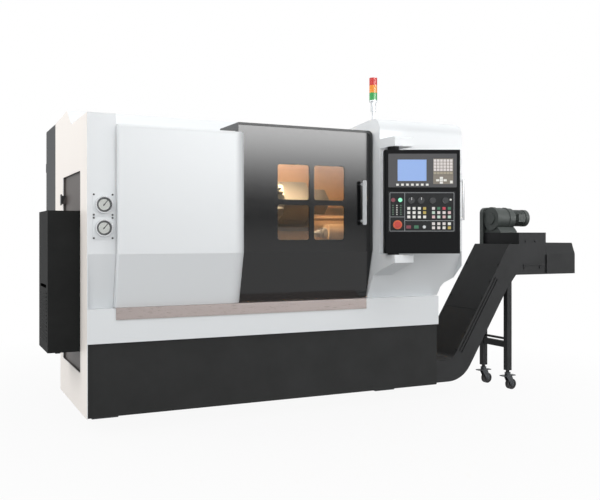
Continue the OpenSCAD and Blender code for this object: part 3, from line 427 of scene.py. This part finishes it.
@dataclass
class Enclosure:
    """Base, covers, hood, roof, cabinet and gauges, in machine mm."""

    # least share of a normal along X at which a face of the left end looks left and gets the cream
    # copy of the white coat, painted light from the left
    lit_side_leftward: float = 0.7
    # the access panel's latch lies left of this
    latch_x: float = 2.0
    gauge_x: float = 85.0
    gauge_z: Pair = (997.0, 1119.0)
    # cases, plate screws, printed rings, dials, needles and lenses, each over the last
    gauge_zones: tuple[GaugeZone, ...] = (
        GaugeZone(CHROME, (0.0, 46.0), (-math.inf, -3.5)),
        GaugeZone(TRIM_BLACK, (60.0, math.inf), (-math.inf, -3.5)),
        GaugeZone(DIAL_RING, (0.0, 39.5), (-16.2, -13.4)),
        GaugeZone(DIAL_WHITE, (0.0, 29.5), (-17.2, -16.2)),
        GaugeZone(NEEDLE, (0.0, 36.0), (-19.8, -17.2)),
        GaugeZone(LENS, (0.0, 39.5), (-24.5, -19.9)),
    )

    def dress(self) -> None:
        """Paints the covers, the base and the cabinet."""
        for node in (
            "left_end_cover", "left_front_cover", "right_front_hood", "roof_cover", "front_band",
        ):
            wear(node, WHITE)
        # the base and the rear cover wear the lighter cream copy of the white coat: painted light
        # from the left
        for node in ("base_frame", "rear_cover"):
            wear(node, CREAM_PAINTED_LIGHT)
        # the left end's left-facing faces get the same lighter cream copy: painted light from the
        # left
        paint("left_end_cover", CREAM_PAINTED_LIGHT, lambda c, n: n.x < -self.lit_side_leftward)
        wear("side_access_panel", ACCESS_BROWN)
        paint("side_access_panel", TRIM_BLACK, lambda c, n: c.x < self.latch_x)
        wear("front_apron", APRON_BLACK)
        wear("door_sill", STAINLESS)
        wear("levelling_feet", DARK_STEEL)
        wear("belt_guard", GUARD_BLACK)
        wear("electrical_cabinet", CABINET_GREY)
        wear("cabinet_door", CABINET_GREY)
        self.dress_gauges()

    def dress_gauges(self) -> None:
        """Gives the gauges chromed cases, white dials and clear lenses."""
        wear("gauge_panel", WHITE)
        for zone in self.gauge_zones:
            paint("gauge_panel", zone.finish, lambda c, n: self.in_zone(zone, c))

    def in_zone(self, zone: GaugeZone, centre: Vector) -> bool:
        """Says whether a face belongs to a part of the gauges.

        Args:
            zone: The part.
            centre: Middle of the face in machine mm.

        Returns:
            True where it lies between the part's radii and fronts.
        """
        radius = min(math.hypot(centre.x - self.gauge_x, centre.z - z) for z in self.gauge_z)
        between = zone.radii[0] <= radius < zone.radii[1]
        return between and zone.fronts[0] < centre.y < zone.fronts[1]


@dataclass
class Door:
    """Sliding door with its panes and handle, in machine mm."""

    crease_z: float = 860.0
    # the edge trim stands in front of this plane and starts so far above the crease
    trim_y: float = -1.5
    trim_rise: float = 4.0

    def dress(self) -> None:
        """Enamels the door and trims its edge."""
        wear("door_panel", DOOR_ENAMEL)
        trim_z = self.crease_z + self.trim_rise
        paint("door_panel", TRIM_BLACK, lambda c, n: c.y < self.trim_y and c.z > trim_z)
        wear("door_glass", PANE)
        wear("door_handle", HANDLE_GREY)


@dataclass(frozen=True)
class Patch:
    """A rectangle on the face of the control that has one finish, in mm.

    Attributes:
        finish: Finish of what lies in it.
        x: Least and greatest place along the face.
        z: Least and greatest height.
    """

    finish: Finish
    x: Pair
    z: Pair

    def holds(self, spot: Vector) -> bool:
        """Says whether a spot in the control's own frame lies in the rectangle."""
        return self.x[0] < spot.x < self.x[1] and self.z[0] < spot.z < self.z[1]


@dataclass(frozen=True)
class KeyBlock:
    """A block of keys on the operator panel, in mm.

    Attributes:
        first: Left edge and middle height of its top left key.
        rows: Finishes of its keys from left to right, the top row first.
    """

    first: Pair
    rows: tuple[tuple[Finish, ...], ...]


@dataclass
class Pendant:
    """Swivelling control unit; x runs along its face from the pivot, in mm.

    How proud a piece is means how far it stands in front of the case.
    """

    pivot: Pair = (1744.0, -196.0)
    turn_deg: float = 25.5
    case_front: float = -45.0
    nodes: tuple[str, ...] = (
        "pendant_case", "display_unit", "display_screen", "operator_panel", "pendant_handle",
        "emergency_stop", "feed_knob", "spindle_knob", "pendant_brackets",
    )
    # the mushroom cap of the emergency stop is prouder than this
    cap_proud: float = 24.5
    # axes of the two knobs that turn, and the slot in their caps
    knob_x: Pair = (100.0, 157.0)
    knob_z: float = 1163.0
    slot_proud: Pair = (21.5, 23.9)
    slot_rise: float = 1.5
    slot_half: float = 2.0
    # row of soft keys under the screen
    soft_keys: Patch = Patch(KEY_WHITE, (11.0, 203.0), (1249.0, 1263.0))
    soft_proud: Pair = (5.5, math.inf)
    # floor of the keypad beside the screen
    keypad: Patch = Patch(KEYPAD, (229.0, 347.0), (1260.0, 1410.0))
    keypad_proud: Pair = (-math.inf, 3.2)
    # its letter keys, its row of page keys and its arrow keys
    keypad_keys: tuple[Patch, ...] = (
        Patch(KEY_PALE, (231.0, 346.0), (1334.0, 1406.0)),
        Patch(KEY_BEIGE, (231.0, 346.0), (1317.0, 1331.0)),
        Patch(KEY_WHITE, (240.0, 346.0), (1261.0, 1303.0)),
    )
    keypad_key_proud: Pair = (3.3, math.inf)
    # grooves that frame and part the fields of the operator panel
    grooves: Patch = Patch(LINE_GREY, (-27.0, 353.0), (982.0, 1211.0))
    groove_proud: Pair = (2.9, 3.9)
    # spacing of the panel's keys, and the reach of one key from its left edge and middle height
    key_pitch: Pair = (31.0, 25.0)
    key_x: Pair = (-1.0, 18.0)
    key_z: Pair = (-9.0, 9.0)
    key_proud: Pair = (4.5, math.inf)
    key_blocks: tuple[KeyBlock, ...] = (
        KeyBlock((77.0, 1117.0), (
            (KEY_WHITE, KEY_WHITE, KEY_WHITE, KEY_AMBER),
            (KEY_WHITE, KEY_WHITE, KEY_WHITE, KEY_AMBER),
            (KEY_WHITE, KEY_WHITE, KEY_WHITE, KEY_WHITE),
        )),
        KeyBlock((222.0, 1117.0), (
            (KEY_PALE, KEY_GREEN, KEY_RED, KEY_GREEN),
            (KEY_MINT, KEY_PALE, KEY_PALE, KEY_PINK),
            (KEY_PINK, KEY_MINT, KEY_PINK, KEY_MINT),
        )),
        KeyBlock((222.0, 1027.0), (
            (KEY_PALE, KEY_PALE, KEY_PALE, KEY_WHITE),
            (KEY_PALE, KEY_PALE, KEY_WHITE, KEY_AMBER),
        )),
    )
    # two round buttons, three buttons in the bottom row, the knobs that stay, a small lamp, and
    # three columns of lamps, of which the middle one is pale
    panel_patches: tuple[Patch, ...] = (
        Patch(KEY_DARK_RED, (-19.0, 7.0), (1153.0, 1179.0)),
        Patch(BUTTON_LIT, (22.0, 48.0), (1153.0, 1179.0)),
        Patch(KEY_DARK_RED, (71.0, 99.0), (998.0, 1018.0)),
        Patch(KEY_GREEN, (116.0, 144.0), (998.0, 1018.0)),
        Patch(HANDLE_GREY, (166.0, 186.0), (998.0, 1018.0)),
        Patch(KNOB_BLACK, (208.0, 319.0), (1145.0, 1181.0)),
        Patch(KEY_WHITE, (324.0, 338.0), (1161.0, 1175.0)),
        Patch(LED_GREEN, (-12.0, 44.0), (1077.0, 1139.0)),
        Patch(KEY_WHITE, (11.0, 21.0), (1077.0, 1139.0)),
    )

    def local(self, centre: Vector) -> Vector:
        """Turns a machine point into the unit's own frame.

        Args:
            centre: Point in machine mm.

        Returns:
            Place along the face, distance in front of the case and height, in mm.
        """
        turn = math.radians(self.turn_deg)
        dx = centre.x - self.pivot[0]
        dy = centre.y - self.pivot[1]
        along = math.cos(turn) * dx - math.sin(turn) * dy
        back = math.sin(turn) * dx + math.cos(turn) * dy
        return Vector((along, self.case_front - back, centre.z))

    def tint(self, node: str, patch: Patch, proud: Pair) -> None:
        """Paints what lies in a rectangle and is so proud.

        Args:
            node: Name of the node.
            patch: The rectangle and its finish.
            proud: Least and greatest distance in front of the case.
        """
        def inside(centre: Vector, _normal: Vector) -> bool:
            """Says whether a face is in the rectangle and as proud as asked."""
            spot = self.local(centre)
            return patch.holds(spot) and proud[0] < spot.y < proud[1]

        paint(node, patch.finish, inside)

    def in_slot(self, centre: Vector) -> bool:
        """Says whether a face lies in the slot across a knob's cap.

        Args:
            centre: Middle of the face in machine mm.

        Returns:
            True for the slot's floor and walls.
        """
        spot = self.local(centre)
        sideways = min(abs(spot.x - x) for x in self.knob_x)
        deep = self.slot_proud[0] < spot.y < self.slot_proud[1]
        return deep and spot.z > self.knob_z + self.slot_rise and sideways < self.slot_half

    def dress(self) -> None:
        """Paints the case, the display and the operator panel."""
        wear("pendant_case", CASE_BLACK)
        wear("pendant_brackets", WHITE)
        wear("display_screen", SCREEN)
        wear("pendant_handle", CHROME)
        wear("emergency_stop", STOP_ORANGE)
        paint("emergency_stop", STOP_RED, lambda c, n: self.local(c).y > self.cap_proud)
        for node in ("feed_knob", "spindle_knob"):
            wear(node, KNOB_BLACK)
            paint(node, POINTER, lambda c, n: self.in_slot(c))
        self.dress_display()
        self.dress_panel()
        # the door's enamel shows no image of the control
        for node in self.nodes:
            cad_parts[node].visible_glossy = False

    def dress_display(self) -> None:
        """Paints the soft keys and the keypad of the display."""
        node = "display_unit"
        wear(node, BEZEL)
        self.tint(node, self.soft_keys, self.soft_proud)
        self.tint(node, self.keypad, self.keypad_proud)
        for keys in self.keypad_keys:
            self.tint(node, keys, self.keypad_key_proud)

    def dress_panel(self) -> None:
        """Paints lines, keys, buttons and lamps of the operator panel."""
        node = "operator_panel"
        wear(node, PANEL_BLACK)
        self.tint(node, self.grooves, self.groove_proud)
        for block in self.key_blocks:
            for j, row in enumerate(block.rows):
                for i, finish in enumerate(row):
                    x = block.first[0] + self.key_pitch[0] * i
                    z = block.first[1] - self.key_pitch[1] * j
                    key = Patch(
                        finish,
                        (x + self.key_x[0], x + self.key_x[1]),
                        (z + self.key_z[0], z + self.key_z[1]),
                    )
                    self.tint(node, key, self.key_proud)
        for patch in self.panel_patches:
            self.tint(node, patch, self.key_proud)


@dataclass
class Tower:
    """Signal lamps on their mast."""

    def dress(self) -> None:
        """Colours the three lamps."""
        wear("signal_mast", ANODISED)
        wear("lamp_red", LAMP_RED)
        wear("lamp_amber", LAMP_AMBER)
        wear("lamp_green", LAMP_GREEN)


@dataclass
class Chamber:
    """What works behind the door."""

    # least share of a normal at which a face of the lamp looks forward or up
    shaded: float = 0.5

    def dress(self) -> None:
        """Gives castings paint, and the spindle, screw, quill and turret disc ground steel."""
        # the guards' warm tan colour is painted warm lamp light
        wear("inner_guards", ZINC_PAINTED_WARM_LIGHT)
        wear("work_lamp", TUBE)
        # the lamp's housing shades the front and the roof, and the cover shines down and back
        paint("work_lamp", WHITE, lambda c, n: n.y < -self.shaded or n.z > self.shaded)
        # the castings in the chamber wear the beige copy of the grey cast paint: painted warm lamp
        # light
        for node in ("slant_bed", "saddle", "tailstock"):
            wear(node, CAST_PAINTED_WARM_LIGHT)
        wear("headstock", CAST_GREY)
        for node in ("spindle", "z_screw", "quill", "turret_disc"):
            wear(node, GROUND_STEEL)
        for node in ("chuck_body", "turret_slide"):
            wear(node, CAST_IRON)
        for node in ("jaw_1", "jaw_2", "jaw_3", "motor_pulley"):
            wear(node, DARK_STEEL)
        for node in ("spindle_motor", "z_servo"):
            wear(node, MOTOR_GREY)
        wear("drive_belt", RUBBER)


@dataclass
class Conveyor:
    """Chip conveyor with its drive and stand."""

    def dress(self) -> None:
        """Paints the sheet metal and leaves the moving parts bare."""
        for node in ("conveyor_trough", "conveyor_covers", "conveyor_stand"):
            wear(node, CONVEYOR_GREY)
        wear("conveyor_belt", DARK_STEEL)
        wear("conveyor_shaft", GROUND_STEEL)
        wear("gearmotor", GEAR_GREY)
        for side in ("front", "rear"):
            wear(f"{side}_caster_fork", DARK_STEEL)
            wear(f"{side}_caster_wheel", RUBBER)


@dataclass(frozen=True)
class SoftBox:
    """A rectangular soft box.

    Attributes:
        name: Name of the lamp.
        place: Its middle, in metres.
        aim: Point that it faces.
        size: Its width and height in metres.
        watts: Its power.
        mirrored: Whether glossy faces show it.
    """

    name: str
    place: Place
    aim: Place
    size: Pair
    watts: float
    mirrored: bool = True

    def hang(self) -> None:
        """Adds the lamp to the scene."""
        data = bpy.data.lights.new(self.name, "AREA")
        data.shape = "RECTANGLE"
        data.size, data.size_y = self.size
        data.energy = self.watts
        lamp = bpy.data.objects.new(self.name, data)
        lamp.location = self.place
        way = Vector(self.aim) - Vector(self.place)
        lamp.rotation_euler = way.to_track_quat("-Z", "Y").to_euler()
        lamp.visible_glossy = self.mirrored
        bpy.context.scene.collection.objects.link(lamp)


@dataclass
class Studio:
    """Floor, light and camera of the picture, in metres."""

    # the photograph's frame, the row of its horizon and its focal length, in pixels
    frame_px: tuple[int, int] = (600, 500)
    horizon_px: float = 236.0
    focal_px: float = 776.0
    eye: Place = (-1.841, -4.732, 1.043)
    yaw_deg: float = 25.5
    sensor_mm: float = 36.0
    clip_end: float = 200.0
    floor_half: float = 30.0
    floor_colour: str = "#9C9C9C"
    # share of plain white in the floor under the machine, and where it fades to all white
    floor_lift: float = 0.93
    floor_fade: Pair = (1.0, 3.5)
    # direction that the room is brightest in, and the least and greatest strength of its light
    bright_side: Place = (-0.77, -0.48, 0.42)
    sky_low: float = 0.05
    sky_high: float = 1.22
    # over the camera, overhead and at each end; the photograph's door mirrors no lamp on the right
    lamps: tuple[SoftBox, ...] = (
        SoftBox("front box", (-2.8, -6.8, 3.0), (0.4, -0.4, 1.0), (3.0, 3.0), 84.0),
        SoftBox("top box", (0.0, -0.7, 6.0), (0.0, -0.2, 0.0), (6.0, 4.0), 40.0),
        SoftBox("end box", (-4.4, 0.3, 4.0), (-1.1, 0.0, 1.7), (2.0, 2.0), 80.0),
        SoftBox("right box", (2.6, -3.4, 3.4), (1.0, -0.5, 1.0), (1.2, 1.2), 32.0, mirrored=False),
    )
    # the bright card behind the camera: its reach, the heights between which it fades in, its
    # strength on top and the power of the curve in between
    card_x: Pair = (1.0, 12.0)
    card_y: float = -9.7
    card_z: Pair = (1.2, 4.4)
    card_fade: Pair = (1.72, 3.02)
    card_strength: float = 14.0
    card_curve: float = 1.6

    def build(self) -> None:
        """Makes floor, world, lamps, card and camera."""
        self.build_floor()
        self.build_world()
        for lamp in self.lamps:
            lamp.hang()
        self.build_card()
        self.build_camera()
        bpy.context.scene.view_settings.view_transform = "Standard"

    def add_sheet(
        self, name: str, corners: list[Place], material: bpy.types.Material
    ) -> bpy.types.Object:
        """Adds one flat sheet to the scene.

        Args:
            name: Name of the sheet.
            corners: Its four corners in turn.
            material: Its material.

        Returns:
            The sheet's object.
        """
        mesh = bpy.data.meshes.new(name)
        mesh.from_pydata(corners, [], [(0, 1, 2, 3)])
        mesh.materials.append(material)
        sheet = bpy.data.objects.new(name, mesh)
        bpy.context.scene.collection.objects.link(sheet)
        return sheet

    def build_floor(self) -> None:
        """Lays a white floor that keeps the machine's shadow."""
        half = self.floor_half
        corners = [(-half, -half, 0), (half, -half, 0), (half, half, 0), (-half, half, 0)]
        floor = self.add_sheet("floor", corners, self.floor_paint())

    def backdrop_rays(self, tree: bpy.types.NodeTree) -> bpy.types.NodeSocket:
        """Tells the rays that show the backdrop from those that only carry its light.

        Args:
            tree: Node tree that gets the nodes.

        Returns:
            A socket that is 1 for camera, glossy and transmission rays.
        """
        path = add_node(tree, "ShaderNodeLightPath")
        mirrored = add_node(
            tree,
            "ShaderNodeMath",
            {"operation": "MAXIMUM"},
            {0: path.outputs["Is Camera Ray"], 1: path.outputs["Is Glossy Ray"]},
        )
        seen = add_node(
            tree,
            "ShaderNodeMath",
            {"operation": "MAXIMUM"},
            {0: mirrored.outputs["Value"], 1: path.outputs["Is Transmission Ray"]},
        )
        return seen.outputs["Value"]

    def floor_paint(self) -> bpy.types.Material:
        """Makes the floor's matt white, which the camera sees as the white backdrop does.

        Returns:
            The new material.
        """
        material = bpy.data.materials.new("matt floor, white")
        material.use_nodes = True
        tree = material.node_tree
        tree.nodes.clear()
        matt = add_node(tree, "ShaderNodeBsdfDiffuse", {"Color": linear(self.floor_colour)})
        white = add_node(tree, "ShaderNodeEmission", {"Color": (1, 1, 1, 1), "Strength": 1.0})
        spot = add_node(tree, "ShaderNodeNewGeometry")
        away = add_node(
            tree, "ShaderNodeVectorMath", {"operation": "LENGTH"}, {0: spot.outputs["Position"]}
        )
        near, far = self.floor_fade
        share = add_node(
            tree,
            "ShaderNodeMapRange",
            {"From Min": near, "From Max": far, "To Min": self.floor_lift, "To Max": 1.0},
            {"Value": away.outputs["Value"]},
        )
        seen = add_node(
            tree,
            "ShaderNodeMath",
            {"operation": "MULTIPLY"},
            {0: self.backdrop_rays(tree), 1: share.outputs["Result"]},
        )
        mix = add_node(tree, "ShaderNodeMixShader", links={"Fac": seen.outputs["Value"]})
        tree.links.new(matt.outputs["BSDF"], mix.inputs[1])
        tree.links.new(white.outputs["Emission"], mix.inputs[2])
        add_node(tree, "ShaderNodeOutputMaterial", links={"Surface": mix.outputs["Shader"]})
        return material

    def build_world(self) -> None:
        """Surrounds the scene with light from the bright side and a white backdrop."""
        world = bpy.data.worlds.new("studio")
        bpy.context.scene.world = world
        world.use_nodes = True
        tree = world.node_tree
        tree.nodes.clear()
        ray = add_node(tree, "ShaderNodeTexCoord")
        facing = add_node(
            tree,
            "ShaderNodeVectorMath",
            {"operation": "DOT_PRODUCT", 1: self.bright_side},
            {0: ray.outputs["Generated"]},
        )
        level = add_node(
            tree,
            "ShaderNodeMapRange",
            {"From Min": -1.0, "From Max": 1.0, "To Min": self.sky_low, "To Max": self.sky_high},
            {"Value": facing.outputs["Value"]},
        )
        soft = add_node(
            tree,
            "ShaderNodeBackground",
            {"Color": (1, 1, 1, 1)},
            {"Strength": level.outputs["Result"]},
        )
        white = add_node(tree, "ShaderNodeBackground", {"Color": (1, 1, 1, 1), "Strength": 1.0})
        mix = add_node(tree, "ShaderNodeMixShader", links={"Fac": self.backdrop_rays(tree)})
        tree.links.new(soft.outputs["Background"], mix.inputs[1])
        tree.links.new(white.outputs["Background"], mix.inputs[2])
        add_node(tree, "ShaderNodeOutputWorld", links={"Surface": mix.outputs["Shader"]})

    def card_light(self) -> bpy.types.Material:
        """Makes the card's light, which grows with its height.

        Returns:
            The new material.
        """
        material = bpy.data.materials.new("graded light card")
        material.use_nodes = True
        tree = material.node_tree
        tree.nodes.clear()
        spot = add_node(tree, "ShaderNodeNewGeometry")
        parts = add_node(tree, "ShaderNodeSeparateXYZ", links={"Vector": spot.outputs["Position"]})
        low, high = self.card_fade
        level = add_node(
            tree,
            "ShaderNodeMapRange",
            {"From Min": low, "From Max": high, "To Min": 0.0, "To Max": 1.0},
            {"Value": parts.outputs["Z"]},
        )
        curve = add_node(
            tree,
            "ShaderNodeMath",
            {"operation": "POWER", 1: self.card_curve},
            {0: level.outputs["Result"]},
        )
        strength = add_node(
            tree,
            "ShaderNodeMath",
            {"operation": "MULTIPLY", 1: self.card_strength},
            {0: curve.outputs["Value"]},
        )
        light = add_node(
            tree,
            "ShaderNodeEmission",
            {"Color": (1, 1, 1, 1)},
            {"Strength": strength.outputs["Value"]},
        )
        add_node(tree, "ShaderNodeOutputMaterial", links={"Surface": light.outputs["Emission"]})
        return material

    def build_card(self) -> None:
        """Stands a graded bright card behind the camera, which only glossy faces see."""
        (left, right), y, (low, high) = self.card_x, self.card_y, self.card_z
        corners = [(left, y, low), (right, y, low), (right, y, high), (left, y, high)]
        card = self.add_sheet("bright card", corners, self.card_light())
        card.visible_camera = False
        card.visible_diffuse = False
        card.visible_transmission = False
        card.visible_shadow = False

    def build_camera(self) -> None:
        """Stands the camera where the photograph was taken."""
        data = bpy.data.cameras.new("camera")
        width, height = self.frame_px
        data.sensor_width = self.sensor_mm
        data.lens = self.focal_px / width * self.sensor_mm
        data.shift_y = (self.horizon_px - height / 2.0) / width
        data.clip_end = self.clip_end
        camera = bpy.data.objects.new("camera", data)
        camera.location = self.eye
        camera.rotation_euler = (math.pi / 2.0, 0.0, -math.radians(self.yaw_deg))
        bpy.context.scene.collection.objects.link(camera)
        bpy.context.scene.camera = camera


def main() -> None:
    """Dresses every sub-assembly, then builds the studio."""
    logging.basicConfig(level=logging.INFO, format="%(message)s")
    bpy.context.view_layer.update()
    for assembly in (Enclosure(), Door(), Pendant(), Tower(), Chamber(), Conveyor()):
        assembly.dress()
    Studio().build()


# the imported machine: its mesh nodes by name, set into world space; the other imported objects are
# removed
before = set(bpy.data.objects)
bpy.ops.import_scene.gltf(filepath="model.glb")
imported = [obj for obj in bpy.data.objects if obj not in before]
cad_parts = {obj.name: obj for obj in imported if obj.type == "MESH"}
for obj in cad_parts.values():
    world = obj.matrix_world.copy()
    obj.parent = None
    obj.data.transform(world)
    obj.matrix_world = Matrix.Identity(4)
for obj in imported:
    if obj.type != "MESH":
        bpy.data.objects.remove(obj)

if __name__ == "__main__":
    main()
